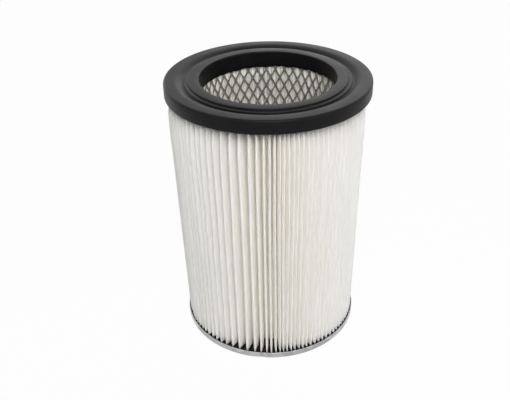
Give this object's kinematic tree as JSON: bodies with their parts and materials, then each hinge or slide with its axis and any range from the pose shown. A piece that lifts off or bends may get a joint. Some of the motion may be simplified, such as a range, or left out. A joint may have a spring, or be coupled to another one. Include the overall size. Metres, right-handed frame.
{
  "type": "vacuum cartridge filter",
  "caption": "Cylindrical pleated cartridge filter for a wet and dry vacuum, with a moulded black ring cap, expanded metal core and pressed steel bottom pan.",
  "frame": {"origin": "centre of the bottom pan's underside, the plane that the filter stands on", "axes": "+Z along the filter's axis, from the closed end up to the open ring cap"},
  "size_m": [0.17, 0.17, 0.2355],
  "materials": {
    "moulded_rubber": "satin moulded polyurethane rubber",
    "filter_sheet": "matt off-white folded filter sheet",
    "galvanised_mesh": "dull galvanised expanded metal",
    "galvanised_sheet": "satin galvanised sheet",
    "potting_compound": "cast black compound"
  },
  "bodies": {
    "root": {"top_cap": "moulded_rubber", "pleated_media": "filter_sheet", "core_mesh": "galvanised_mesh", "bottom_pan": "galvanised_sheet", "potting": "potting_compound"}
  },
  "joints": []
}
